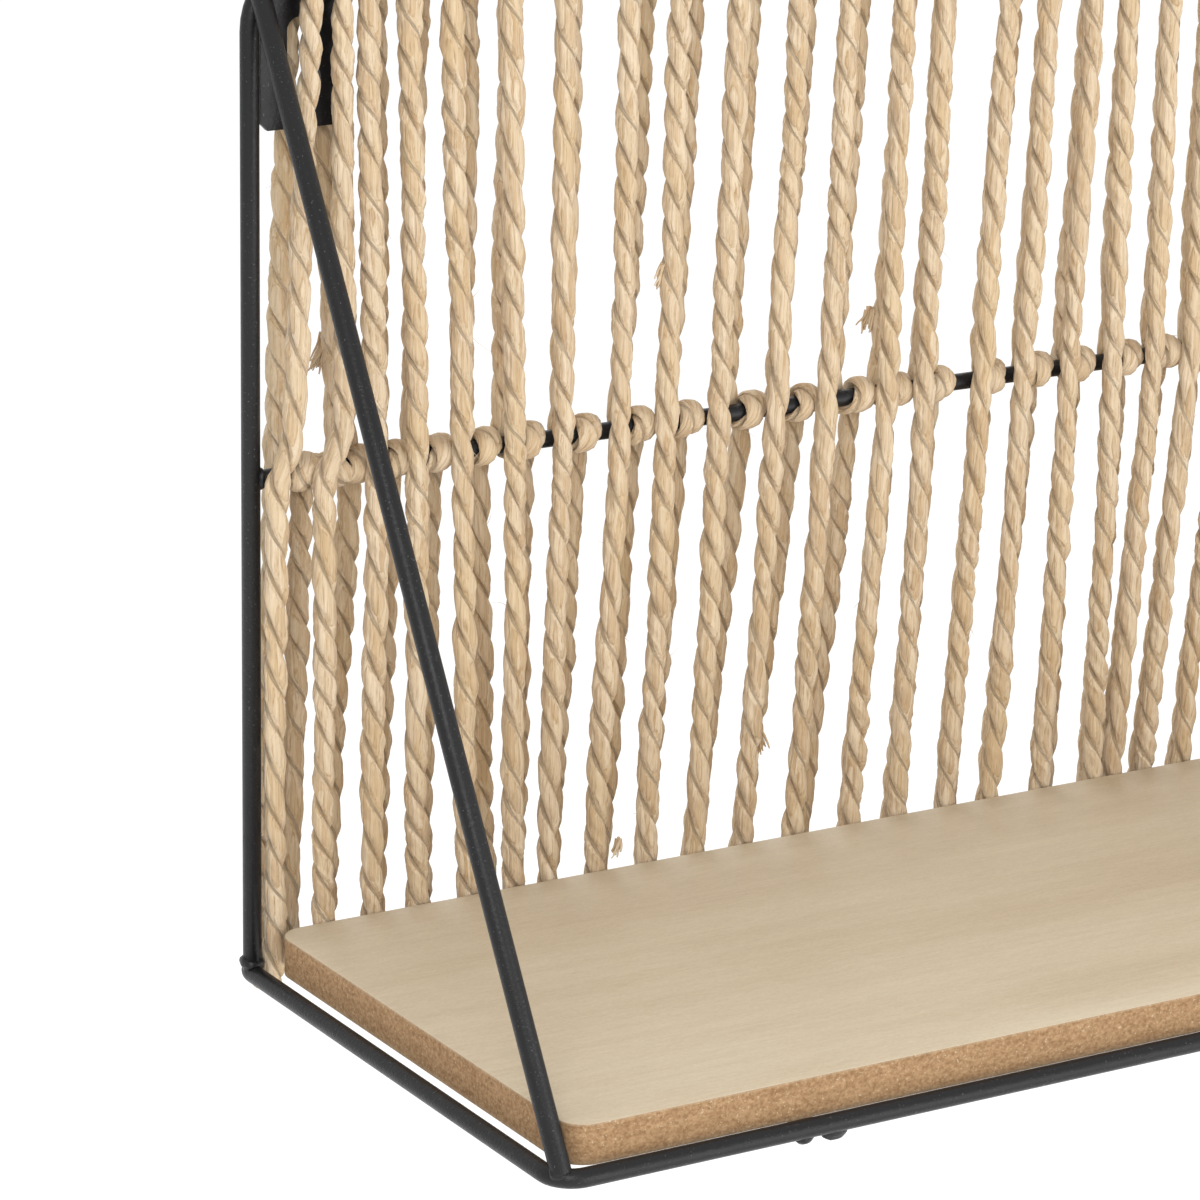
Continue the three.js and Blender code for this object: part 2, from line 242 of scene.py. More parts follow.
# Loose fibres. What holds two numbers is the range that each fibre's own value is drawn from
FIBRE_RADIUS = 0.055 * MM
FIBRE_ROOT = 1.7 * MM
FIBRE_ENDS_CLEAR = 8
FIBRE_LEAN = (0.8, 2.2)
FIBRE_BEND = (0.05, 0.3)
FIBRE_CURL = 0.12
FIBRE_STRIDE = (0.45 * MM, 0.85 * MM)
FIBRE_KNOTS = (4, 7)
LONG_FIBRE_KNOTS = (8, 12)
LONG_FIBRE_SHARE = 0.06
FIBRE_THICK = 1.1
FIBRE_THINNING = 0.8

# Fibres in a torn shred
SHRED_KNOTS = 7
SHRED_SCATTER = 0.4
SHRED_FAN = 0.22
SHRED_LENGTHS = (0.6, 1.0)
SHRED_CURL = 0.2
SHRED_THICK = 6.5
SHRED_THINNING = 0.7

# Camera, at the photograph's viewing angle
CAMERA_PLACE = (-0.67452, -0.92780, 0.19640)
CAMERA_AZIMUTH = -31.182
CAMERA_ELEVATION = 16.799
CAMERA_ROLL = 0.963
CAMERA_LENS = 157.08
CAMERA_FAR = 60
SENSOR_WIDTH = 36.0

# Stage: the floor, and where each light stands, how wide it is and its power in watts
FLOOR_CENTRE = (0, 4, -1.1)
FLOOR_HALF = 12.0
FLOOR_CELLS = 8
FLOOR_DULL = (0.93, 0.93, 0.93)
FLOOR_PALE = (0.95, 0.95, 0.95)
FLOOR_GLOW = 0.14
STUDIO_STRENGTH = 0.95
LIGHT_TARGET = (0, -0.06, -0.1)
LIGHTS = [
    {"name": "key_light", "place": (-1.5, -2.0, 1.1), "size": 1.2, "power": 25},
    {"name": "fill_light", "place": (0.7, -2.1, -0.3), "size": 1.6, "power": 19},
    {"name": "back_light", "place": (0.5, 1.5, 1.5), "size": 1.6, "power": 12},
]


class ShelfSizes(bpy.types.PropertyGroup):
    """Sizes that a user may change before the pieces are made"""

    rope_lay: bpy.props.FloatProperty(
        name="Rope lay",
        description="Length in which the two plies turn once round each other",
        default=18.5 * MM,
        unit="LENGTH",
    )
    rope_step: bpy.props.FloatProperty(
        name="Rope step",
        description="Distance between two sections of the rope's mesh",
        default=1.3 * MM,
        unit="LENGTH",
    )
    rope_waviness: bpy.props.FloatProperty(
        name="Rope waviness",
        description="How far the rope strays from its straight runs",
        default=0.42 * MM,
        unit="LENGTH",
    )
    fibre_count: bpy.props.IntProperty(
        name="Loose fibres",
        description="Number of short fibres that stand off the rope",
        default=520,
    )
    board_corner: bpy.props.FloatProperty(
        name="Board corner",
        description="Radius of the board's upright corners",
        default=6 * MM,
        unit="LENGTH",
    )


def colour_property(name, description, default):
    """A colour that a user may change"""
    return bpy.props.FloatVectorProperty(
        name=name, description=description, subtype="COLOR", size=3, min=0, max=1, default=default
    )


class ShelfColours(bpy.types.PropertyGroup):
    """Colours that a user may change before the pieces are made"""

    rope_light: colour_property("Rope, light fibres", "The rope's pale fibres", (0.655, 0.53, 0.375))
    rope_dark: colour_property("Rope, dark fibres", "The rope's darker fibres", (0.47, 0.325, 0.185))
    rope_tint: colour_property("Rope, tinted fibres", "The rope's warmer patches", (0.56, 0.40, 0.21))
    # Painted shade for the groove between the plies and for the cracks between ribbons of fibre; also the
    # colour of the rope's dark specks
    rope_groove_shade_and_specks: colour_property("Rope, groove", "Deep between the plies", (0.36, 0.225, 0.10))
    wire_black: colour_property("Wire", "The frame's coating", (0.010, 0.010, 0.011))
    wire_rubbed: colour_property("Wire, rubbed", "Where the coating is rubbed", (0.36, 0.35, 0.34))
    face_light: colour_property("Board face, light", "The board's pale face", (0.61, 0.52, 0.38))
    face_dark: colour_property("Board face, grain", "The grain in the face", (0.50, 0.40, 0.27))
    edge_light: colour_property("Board edge, light", "Pale flecks in the raw edge", (0.40, 0.255, 0.135))
    edge_dark: colour_property("Board edge, dark", "Dark flecks in the raw edge", (0.225, 0.125, 0.058))


class Value:
    """A node's output that formulas can use"""

    def __init__(self, finish, socket):
        self.finish = finish
        self.socket = socket

    def __add__(self, other):
        return self.finish.maths("ADD", self, other)

    def __radd__(self, other):
        return self.finish.maths("ADD", other, self)

    def __sub__(self, other):
        return self.finish.maths("SUBTRACT", self, other)

    def __rsub__(self, other):
        return self.finish.maths("SUBTRACT", other, self)

    def __mul__(self, other):
        return self.finish.maths("MULTIPLY", self, other)

    def __rmul__(self, other):
        return self.finish.maths("MULTIPLY", other, self)


class Finish:
    """A material and the nodes that make it"""

    def __init__(self, name, roughness, specular=0.5):
        self.material = bpy.data.materials.new(name)
        self.material.use_nodes = True
        self.nodes = self.material.node_tree.nodes
        self.links = self.material.node_tree.links
        self.shader = self.nodes["Principled BSDF"]
        self.set("Roughness", roughness)
        self.set("Specular IOR Level", specular)

    def set(self, name, value):
        self.plug(self.shader.inputs[name], value)

    def plug(self, socket, value):
        if isinstance(value, Value):
            self.links.new(value.socket, socket)
        else:
            socket.default_value = value

    def node(self, kind, settings=None, inputs=None, output=0):
        made = self.nodes.new(kind)
        for name, value in (settings or {}).items():
            if name == "stops":
                self.set_stops(made.color_ramp, value)
            else:
                setattr(made, name, value)
        for name, value in (inputs or {}).items():
            self.plug(made.inputs[name], value)
        return Value(self, made.outputs[output])

    @staticmethod
    def set_stops(ramp, stops):
        while len(ramp.elements) < len(stops):
            ramp.elements.new(1)
        for element, (position, level) in zip(ramp.elements, stops):
            element.position = position
            element.color = (level, level, level, 1)

    def maths(self, operation, first, second):
        return self.node("ShaderNodeMath", {"operation": operation}, {0: first, 1: second})

    def place(self):
        return self.node("ShaderNodeTexCoord", output="Object")

    def attribute(self, name, output):
        return self.node("ShaderNodeAttribute", {"attribute_name": name}, output=output)

    def stretched(self, place, scale):
        return self.node("ShaderNodeMapping", inputs={"Vector": place, "Scale": scale})

    def noise(self, place, scale, detail=3.0, roughness=0.55):
        """Noise whose grains are 1 / scale metres long in X, Y and Z"""
        inputs = {"Vector": self.stretched(place, scale), "Scale": 1.0}
        inputs.update({"Detail": detail, "Roughness": roughness})
        return self.node("ShaderNodeTexNoise", inputs=inputs)

    def ribbons(self, place, scale, feature, output):
        """Long cells 1 / scale metres in X, Y and Z, such as flat ribbons of fibre"""
        inputs = {"Vector": self.stretched(place, scale), "Scale": 1.0}
        return self.node("ShaderNodeTexVoronoi", {"feature": feature}, inputs, output)

    def curve(self, value, *stops):
        """A value sent through stops of position and level"""
        return self.node("ShaderNodeValToRGB", {"stops": stops}, {"Fac": value})

    def mixed(self, amount, first, second):
        """A colour between two colours"""
        sides = {"Factor": amount, "A": first, "B": second}
        made = self.nodes.new("ShaderNodeMix")
        made.data_type = "RGBA"
        for socket in made.inputs:
            if socket.enabled and socket.name in sides:
                self.plug(socket, self.with_alpha(sides[socket.name]))
        return Value(self, next(socket for socket in made.outputs if socket.enabled))

    @staticmethod
    def with_alpha(value):
        return value if isinstance(value, (Value, float, int)) else (*value, 1.0)

    def bump(self, height, distance, strength=1.0):
        inputs = {"Height": height, "Distance": distance, "Strength": strength}
        self.set("Normal", self.node("ShaderNodeBump", inputs=inputs))


def rope_finish(colours):
    """Natural two-ply rope: pale and darker fibres that run along it, dark specks, and painted shade in the
    grooves between the plies and in cracks between ribbons of fibre
    """
    finish = Finish("natural_rope", 0.82, 0.22)
    fibre = finish.attribute("fibre", "Vector")
    depth = finish.attribute("groove", "Fac")
    fine = finish.noise(fibre, (3300, 3300, 95), 3, 0.6)
    strands = finish.noise(fibre, (1400, 1400, 34), 2)
    lengths = finish.noise(fibre, (240, 240, 22), 3)
    specks = finish.noise(fibre, (2600, 2600, 420), 1)
    creases = finish.noise(fibre, (1250, 1250, 150), 2, 0.7)
    patches = finish.noise(finish.place(), (75, 75, 45), 2)
    ribbon_scale = (720, 720, 62)
    edges = finish.ribbons(fibre, ribbon_scale, "DISTANCE_TO_EDGE", "Distance")
    cells = finish.ribbons(fibre, ribbon_scale, "F1", "Color")
    shade = finish.node("ShaderNodeSeparateColor", inputs={0: cells}, output="Red")
    tone = fine * 0.5 + strands * 0.26 + lengths * 0.24 + shade * 0.22
    pale = finish.curve(tone, (0.44, 0.0), (0.72, 1.0))
    colour = finish.mixed(pale, colours.rope_dark, colours.rope_light)
    tinted = finish.curve(patches, (0.45, 0.0), (0.68, 0.4))
    colour = finish.mixed(tinted, colour, colours.rope_tint)
    nicks = finish.curve(specks, (0.66, 0.0), (0.76, 0.45))
    colour = finish.mixed(nicks, colour, colours.rope_groove_shade_and_specks)
    # Painted shade in thin cracks along the edges of the ribbons of fibre, where the crease noise lets them
    # show
    crack_shade = finish.curve(edges, (0.0, 0.75), (0.075, 0.0)) * finish.curve(creases, (0.46, 0.0), (0.6, 1.0))
    colour = finish.mixed(crack_shade, colour, colours.rope_groove_shade_and_specks)
    # Painted shade deep in the groove between the plies, by the groove attribute, less where the groove is
    # filled
    shaded = finish.curve(depth, (0.5, 0.0), (1.0, 0.5))
    finish.set("Base Color", finish.mixed(shaded, colour, colours.rope_groove_shade_and_specks))
    finish.set("Sheen Weight", 0.12)
    finish.set("Sheen Roughness", 0.5)
    rounded = finish.curve(edges, (0.0, 0.0), (0.3, 1.0))
    height = fine * 0.5 + strands * 0.5 + specks * 0.2 + rounded * 0.45 + shade * 0.25
    finish.bump(height, 0.5 * MM, 0.9)
    return finish.material


def fibre_finish(colours):
    """Loose fibres, paler or darker by where they stand"""
    finish = Finish("loose_fibre", 0.7, 0.3)
    tone = finish.curve(finish.noise(finish.place(), (160, 160, 160), 1), (0.4, 0.0), (0.6, 1.0))
    finish.set("Base Color", finish.mixed(tone, colours.rope_dark, colours.rope_light))
    return finish.material


def wire_finish(colours):
    """Satin black coating over steel, a little uneven, with fine specks"""
    finish = Finish("black_coating", 0.4, 0.27)
    place = finish.place()
    grain = finish.noise(place, (1500, 1500, 1500), 3, 0.6)
    patches = finish.noise(place, (130, 130, 130), 3)
    specks = finish.curve(finish.noise(place, (2100, 2100, 2100), 1), (0.69, 0.0), (0.77, 1.0))
    rubbed = finish.curve(finish.noise(place, (420, 420, 60), 4, 0.7), (0.68, 0.0), (0.76, 1.0))
    pale = specks * 0.18 + rubbed * 0.14
    finish.set("Base Color", finish.mixed(pale, colours.wire_black, colours.wire_rubbed))
    finish.set("Roughness", grain * 0.16 + patches * 0.2 + 0.18)
    finish.bump(grain * 0.8 + patches, 0.16 * MM, 0.8)
    return finish.material


def board_face_finish(colours):
    """Pale wood face with fine pores and a quiet grain along the board"""
    finish = Finish("board_face", 0.55, 0.35)
    place = finish.place()
    grain = finish.noise(place, (28, 560, 60), 3, 0.6)
    bands = finish.noise(place, (4.5, 62, 8), 2)
    pores = finish.noise(place, (230, 2100, 90), 2)
    mottle = finish.noise(place, (1300, 1900, 900), 2)
    cloud = finish.noise(place, (22, 60, 20), 2)
    tone = grain * 0.26 + bands * 0.42 + pores * 0.26 + mottle * 0.28 + cloud * 0.16
    dark = finish.curve(tone, (0.54, 1.0), (0.84, 0.0))
    colour = finish.mixed(dark, colours.face_light, colours.face_dark)
    nicks = finish.curve(pores, (0.68, 0.0), (0.8, 0.45))
    finish.set("Base Color", finish.mixed(nicks, colour, colours.edge_light))
    finish.set("Roughness", grain * 0.2 + 0.45)
    finish.bump(grain * 0.4 + pores * 0.5 + mottle * 0.4, 0.1 * MM, 0.7)
    return finish.material


def board_edge_finish(colours):
    """Raw fibreboard edge: light and dark flecks, paler along its lower rim"""
    finish = Finish("board_edge", 0.85, 0.2)
    place = finish.place()
    flecks = finish.noise(place, (900, 900, 1100), 3, 0.7)
    layers = finish.noise(place, (120, 120, 700), 2)
    dots = finish.noise(place, (1700, 1700, 1900), 1)
    tone = flecks * 0.75 + layers * 0.2 + dots * 0.2
    pale = finish.curve(tone, (0.44, 0.0), (0.72, 1.0))
    colour = finish.mixed(pale, colours.edge_dark, colours.edge_light)
    chips = finish.curve(dots, (0.69, 0.0), (0.76, 0.55))
    colour = finish.mixed(chips, colour, colours.face_light)
    height = finish.node("ShaderNodeSeparateXYZ", inputs={0: place}, output="Z")
    above = (height - BOARD_LOW.z) * (1 / (BOARD_HIGH.z - BOARD_LOW.z))
    rim = finish.curve(above, (0.02, 0.2), (0.12, 0.0), (0.93, 0.0), (1.0, 0.3))
    finish.set("Base Color", finish.mixed(rim, colour, colours.face_light))
    finish.bump(flecks * 0.7 + dots * 0.5, 0.25 * MM, 0.7)
    return finish.material


def stage_finish():
    """Pale matt floor"""
    finish = Finish("pale_floor", 0.9, 0.1)
    cloud = finish.noise(finish.place(), (0.7, 0.7, 0.7), 2)
    finish.set("Base Color", finish.mixed(cloud, FLOOR_DULL, FLOOR_PALE))
    finish.set("Emission Color", (1, 1, 1, 1))
    finish.set("Emission Strength", FLOOR_GLOW)
    return finish.material


def shown(name, mesh, material, slot, *nodes):
    """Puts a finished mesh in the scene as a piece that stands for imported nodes"""
    piece = bpy.data.objects.new(name, mesh)
    bpy.context.scene.collection.objects.link(piece)
    if material:
        mesh.materials.append(material)
    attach(piece, "root")
    if nodes:
        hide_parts(*nodes)
    return piece


def finished_mesh(name, shape, smooth=True):
    """Turns a bmesh into a mesh with its faces pointing out"""
    bmesh.ops.recalc_face_normals(shape, faces=shape.faces)
    mesh = bpy.data.meshes.new(name)
    shape.to_mesh(mesh)
    shape.free()
    mesh.shade_smooth() if smooth else mesh.shade_flat()
    return mesh


def curve_mesh(name, curve):
    """Turns a curve into a mesh"""
    holder = bpy.data.objects.new(name, curve)
    bpy.context.scene.collection.objects.link(holder)
    bpy.context.view_layer.update()
    mesh = bpy.data.meshes.new_from_object(holder.evaluated_get(bpy.context.evaluated_depsgraph_get()))
    mesh.name = name
    bpy.data.objects.remove(holder)
    bpy.data.curves.remove(curve)
    return mesh


def millimetres(x, y, z):
    """A vector given in millimetres"""
    return Vector((x * MM, y * MM, z * MM))


# Wires

def wire_end(shape, centre, direction, radius):
    """A circle of wire at a point, square to the wire's direction. Gives its edges"""
    turned = direction.to_track_quat("Z", "Y").to_matrix().to_4x4()
    made = bmesh.ops.create_circle(
        shape, segments=WIRE_SIDES, radius=radius, matrix=Matrix.Translation(centre) @ turned
    )
    return list({edge for vert in made["verts"] for edge in vert.link_edges})


def wire_run(shape, edges, along):
    """Draws the wire out in a straight line"""
    made = bmesh.ops.extrude_edge_only(shape, edges=edges)["geom"]
    verts = [item for item in made if isinstance(item, bmesh.types.BMVert)]
    bmesh.ops.translate(shape, verts=verts, vec=along)
    return [item for item in made if isinstance(item, bmesh.types.BMEdge) and item.is_boundary]


def wire_bend(shape, edges, centre, axis):
    """Bends the wire by a quarter turn round a centre"""
    made = bmesh.ops.spin(
        shape, geom=edges, cent=centre, axis=axis, dvec=(0, 0, 0), angle=math.pi / 2, steps=BEND_STEPS,
        use_duplicate=False,
    )["geom_last"]
    return [item for item in made if isinstance(item, bmesh.types.BMEdge)]


def rounded_end(shape, edges, radius, along):
    """Closes a wire's cut end with a small rounding"""
    for share in END_SHARES:
        edges = wire_run(shape, edges, along * radius * END_ROUNDING * share)
        verts = list({vert for edge in edges for vert in edge.verts})
        centre = sum((vert.co for vert in verts), Vector()) / len(verts)
        bmesh.ops.scale(shape, verts=verts, vec=(END_NARROWING,) * 3, space=Matrix.Translation(-centre))
    bmesh.ops.holes_fill(shape, edges=edges)


def straight_wire(shape, start, end, radius):
    """A straight wire from point to point, with rounded ends"""
    along = (end - start).normalized()
    inset = along * radius * END_ROUNDING
    circle = wire_end(shape, start + inset, along, radius)
    last = wire_run(shape, circle, end - start - inset * 2)
    rounded_end(shape, last, radius, along)
    rounded_end(shape, [edge for edge in circle if edge.is_boundary], radius, -along)


def weld_lump(shape, joint, kind, seed, inward=1):
    """An uneven lump of weld under the coating"""
    weld = WELDS[kind]
    made = bmesh.ops.create_icosphere(shape, subdivisions=3, radius=1.0)["verts"]
    for vert in made:
        vert.co *= 1 + WELD_UNEVENNESS * noise.noise(vert.co * WELD_GRAIN + Vector((seed, seed * 0.37, 0)))
    bmesh.ops.scale(shape, verts=made, vec=millimetres(*weld["half"]))
    bmesh.ops.translate(shape, verts=made, vec=joint + millimetres(*weld["off"]) * inward)


def ring_wire():
    """The bottom ring: one wire bent round four corners and welded in the middle of its front"""
    shape = bmesh.new()
    right = RIGHT_X - RING_BEND
    front = FRONT_Y + RING_BEND
    back = RUN_Y - RING_BEND
    start = wire_end(shape, Vector((0, FRONT_Y, RING_Z)), Vector((1, 0, 0)), WIRE_RADIUS)
    edges = wire_run(shape, start, Vector((right, 0, 0)))
    corners = (
        (right, front, (0, back - front, 0)),
        (right, back, (-right * 2, 0, 0)),
        (-right, back, (0, front - back, 0)),
        (-right, front, (right, 0, 0)),
    )
    for x, y, onwards in corners:
        edges = wire_bend(shape, edges, (x, y, RING_Z), (0, 0, 1))
        edges = wire_run(shape, edges, Vector(onwards))
    bmesh.ops.remove_doubles(shape, verts=shape.verts, dist=0.01 * MM)
    for side in (-1, 1):
        for kind, near in NUB_PLACES.items():
            weld_lump(shape, Vector((side * near * MM, FRONT_Y, RING_Z - WIRE_RADIUS)), kind, near)
    return finished_mesh("ring_wire", shape)


def hoop_wire():
    """The rear hoop: two uprights and the top wire, standing on the ring"""
    shape = bmesh.new()
    foot = RING_Z + WIRE_RADIUS * HOOP_SHORT
    shoulder = TOP_Z - HOOP_BEND
    start = wire_end(shape, Vector((LEFT_X, HOOP_Y, foot)), Vector((0, 0, 1)), WIRE_RADIUS)
    edges = wire_run(shape, start, Vector((0, 0, shoulder - foot)))
    edges = wire_bend(shape, edges, (LEFT_X + HOOP_BEND, HOOP_Y, shoulder), (0, 1, 0))
    edges = wire_run(shape, edges, Vector((RIGHT_X - LEFT_X - HOOP_BEND * 2, 0, 0)))
    edges = wire_bend(shape, edges, (RIGHT_X - HOOP_BEND, HOOP_Y, shoulder), (0, 1, 0))
    edges = wire_run(shape, edges, Vector((0, 0, foot - shoulder)))
    bmesh.ops.holes_fill(shape, edges=edges)
    bmesh.ops.holes_fill(shape, edges=[edge for edge in start if edge.is_boundary])
    for x in (LEFT_X, RIGHT_X):
        weld_lump(shape, Vector((x, HOOP_Y, RING_Z)), "hoop_foot", x * 90)
    return finished_mesh("hoop_wire", shape)


def mid_wire():
    """The wire between the uprights that the rope is turned round"""
    shape = bmesh.new()
    short = WIRE_RADIUS * MID_SHORT
    start = Vector((LEFT_X + short, HOOP_Y, MID_Z))
    end = Vector((RIGHT_X - short, HOOP_Y, MID_Z))
    straight_wire(shape, start, end, MID_RADIUS)
    for x, inward in ((LEFT_X, 1), (RIGHT_X, -1)):
        weld_lump(shape, Vector((x, HOOP_Y, MID_Z)), "mid_end", x * 70, inward)
    return finished_mesh("mid_wire_bar", shape)


def brace_wire(side):
    """A brace from the ring's front corner up to the hoop, with weld lumps at both ends"""
    low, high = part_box("brace_left" if side < 0 else "brace_right")
    shape = bmesh.new()
    x = (low.x + high.x) / 2
    foot = Vector((x, FRONT_Y, RING_Z)) + millimetres(0, *BRACE_FOOT_OFF)
    top = Vector((x, HOOP_Y, TOP_Z)) + millimetres(0, *BRACE_TOP_OFF)
    straight_wire(shape, foot, top, (high.x - low.x) / 2)
    weld_lump(shape, foot, "brace_foot", 5 + side)
    weld_lump(shape, top, "brace_top", 9 + side)
    return finished_mesh("brace", shape)


def cross_wire(side):
    """A wire under the board from the ring's front wire to its back run"""
    low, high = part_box("cross_wire_left" if side < 0 else "cross_wire_right")
    shape = bmesh.new()
    x = (low.x + high.x) / 2
    z = (low.z + high.z) / 2
    short = WIRE_RADIUS * UNDER_SHORT
    start = Vector((x, FRONT_Y + short, z))
    end = Vector((x, RUN_Y - short, z))
    straight_wire(shape, start, end, (high.x - low.x) / 2)
    for y, inward in ((FRONT_Y, 1), (RUN_Y, -1)):
        weld_lump(shape, Vector((x, y, z)), "under_end", x * 50 + y, inward)
    return finished_mesh("cross_wire", shape)


class SHELF_OT_wires(bpy.types.Operator):
    """Makes the bottom ring, the hoop, the mid wire, the braces and the wires under the board"""

    bl_idname = "shelf.wires"
    bl_label = "Frame wires"

    def execute(self, context):
        coating = wire_finish(context.scene.shelf_colours)
        shown("ring_wire", ring_wire(), coating, "frame_wire", "bottom_ring")
        shown("hoop_wire", hoop_wire(), coating, "frame_wire", "rear_hoop")
        shown("mid_wire_bar", mid_wire(), coating, "frame_wire", "mid_wire")
        for name, side in (("left", -1), ("right", 1)):
            shown(f"brace_wire_{name}", brace_wire(side), coating, "frame_wire", f"brace_{name}")
            shown(f"under_wire_{name}", cross_wire(side), coating, "frame_wire", f"cross_wire_{name}")
        for name in ("hanging_plate_left", "hanging_plate_right"):
            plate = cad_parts[name]
            plate.data.materials.clear()
            plate.data.materials.append(coating)
        return {"FINISHED"}


# Board

def board_mesh(corner):
    """The board: a slab with rounded upright corners and a slightly softened upper rim"""
    shape = bmesh.new()
    size = BOARD_HIGH - BOARD_LOW
    centre = (BOARD_HIGH + BOARD_LOW) / 2
    bmesh.ops.create_cube(shape, size=1.0, matrix=Matrix.Translation(centre) @ Matrix.Diagonal((*size, 1)))
    upright = [edge for edge in shape.edges if abs(edge.verts[0].co.z - edge.verts[1].co.z) > size.z / 2]
    bmesh.ops.bevel(
        shape, geom=upright, offset=corner, segments=BOARD_CORNER_STEPS, affect="EDGES", profile=0.5,
        material=-1,
    )
    top = BOARD_HIGH.z - 0.01 * MM
    rims = [edge for edge in shape.edges if all(vert.co.z > top for vert in edge.verts)]
    bmesh.ops.bevel(
        shape, geom=rims, offset=BOARD_RIM, segments=BOARD_RIM_STEPS, affect="EDGES", profile=0.5,
        material=-1,
    )
    for face in shape.faces:
        face.material_index = 0 if abs(face.normal.z) > FLAT_FACE else 1
    mesh = finished_mesh("board", shape)
    mesh.set_sharp_from_angle(angle=math.radians(BOARD_SHARP_ANGLE))
    return mesh


class SHELF_OT_board(bpy.types.Operator):
    """Makes the board with its pale face and raw edge"""

    bl_idname = "shelf.board"
    bl_label = "Board"

    def execute(self, context):
        colours = context.scene.shelf_colours
        mesh = board_mesh(context.scene.shelf_sizes.board_corner)
        mesh.materials.append(board_face_finish(colours))
        mesh.materials.append(board_edge_finish(colours))
        shown("board", mesh, None, "board", "shelf_board")
        return {"FINISHED"}


# Rope

def part_point(x, y, z):
    """A point given in millimetres from the left upright, the hoop's plane and the ring's plane"""
    return (LEFT_X + x * MM, HOOP_Y + y, RING_Z + z)


def arc(radius, start, end, place, steps):
    """Points on an arc between two angles in degrees"""
    points = []
    for step in range(steps + 1):
        share = step / steps
        angle = math.radians(start + (end - start) * share)
        points.append(place(radius * math.cos(angle), radius * math.sin(angle), share))
    return points


def top_wire_height(x):
    """The top wire's height above the ring, lower in the hoop's two bends"""
    span = RIGHT_X - LEFT_X
    into_bend = max(0.0, HOOP_BEND - x * MM, x * MM - (span - HOOP_BEND))
    return TOP_Z - RING_Z - HOOP_BEND + math.sqrt(HOOP_BEND ** 2 - into_bend ** 2)


def over_top(first, last):
    """Over the top wire, from the front to the back"""
    def place(dy, dz, share):
        x = first + (last - first) * share
        return part_point(x, dy, top_wire_height(x) + dz)
    return arc(WRAP_RADIUS, 180, 0, place, HALF_TURN_STEPS)


def under_run(first, last):
    """Under the ring's back run, from the back to the front"""
    def place(dy, dz, share):
        return part_point(first + (last - first) * share, RUN_Y - HOOP_Y + dy, dz)
    return arc(WRAP_RADIUS, 0, -180, place, HALF_TURN_STEPS)


def round_mid_wire(strand):
    """One or more full turns round the mid wire, each of which shows as an upright knob in front of it"""
    leave = strand.get("leave", LEAVE_SHIFT)
    knobs = strand.get("knobs", (leave - KNOB_BEFORE_LEAVE,))
    turns = len(knobs)
    behind = [(knob + following) / 2 for knob, following in zip(knobs, knobs[1:])] + [leave]
    half_turns = [strand.get("reach", REACH_SHIFT)]
    for knob, back in zip(knobs, behind):
        half_turns += [knob, back]
    last_turn = (turns - KNOB_LAST_TURN, turns)
    radii = (KNOB_RADIUS, KNOB_LAST_RADIUS)

    def place(dy, dz, share):
        shift = np.interp(share * turns * 2, range(len(half_turns)), half_turns)
        radius = np.interp(share * turns, last_turn, radii) * MM
        return part_point(strand["mid"] + shift, dy * radius, MID_Z - RING_Z + dz * radius)
    return arc(1.0, 0, -360 * turns, place, HALF_TURN_STEPS * 2 * turns)


def rope_corners():
    """The rope's route in one length, with only the ends of its straight runs and its turns"""
    start = ROPE_START
    route = [part_point(start["top"], -WRAP_RADIUS, start["z"] * MM)]
    route += over_top(start["top"], start["back"])
    route.append(part_point(start["mid"], WRAP_RADIUS, MID_Z - RING_Z))
    route += under_run(start["foot"], STRANDS[0]["foot"])
    for strand, following in zip(STRANDS, STRANDS[1:] + [None]):
        over = strand.get("over", OVER_SHIFT)
        under = strand.get("under", UNDER_SHIFT)
        route.append(part_point(strand["mid"], -FRONT_AT_MID, MID_Z - RING_Z))
        if "above" in strand:
            route.append(part_point(strand["above"], -FRONT_AT_MID, MID_Z - RING_Z + STEP_HEIGHT))
        route += over_top(strand["top"], strand["top"] + over)
        if following:
            route += round_mid_wire(strand)
            route += under_run(strand["foot"] + under, following["foot"])
        else:
            route.append(part_point(strand["top"] + over, WRAP_RADIUS, ROPE_END_Z * MM))
    return np.array(route)


def wander(length, kind, side=0):
    """A smooth random line along the rope, up to the change's own strength to either side of nothing"""
    change = CHANGES[kind]
    draw = np.random.default_rng(change["seed"] + side)
    knots = draw.uniform(-1, 1, int(length[-1] / change["every"]) + 4)
    place = length / change["every"]
    whole = place.astype(int)
    share = place - whole
    share = share * share * (3 - 2 * share)
    return change["by"] * (knots[whole] * (1 - share) + knots[whole + 1] * share)


def rope_line(step, waviness):
    """The rope's centre line in even steps, eased into its turns and a little wavy on its straight runs"""
    corners = rope_corners()
    along = np.concatenate([[0], np.cumsum(np.linalg.norm(np.diff(corners, axis=0), axis=1))])
    length = np.linspace(0, along[-1], int(along[-1] / step) + 1)
    line = np.column_stack([np.interp(length, along, corners[:, axis]) for axis in range(3)])
    for _ in range(EASING_ROUNDS):
        line[1:-1] = (line[:-2] + 2 * line[1:-1] + line[2:]) / 4
    wires = np.array([RING_Z, MID_Z, TOP_Z])
    clear = np.abs(line[:, 2:3] - wires).min(axis=1)
    free = np.clip((clear - FREE_FROM) / FREE_RISE, 0, 1)
    line[:, 0] += wander(length, "sideways") * waviness * free
    line[:, 1] += wander(length, "in_depth") * waviness * free
    return line, length


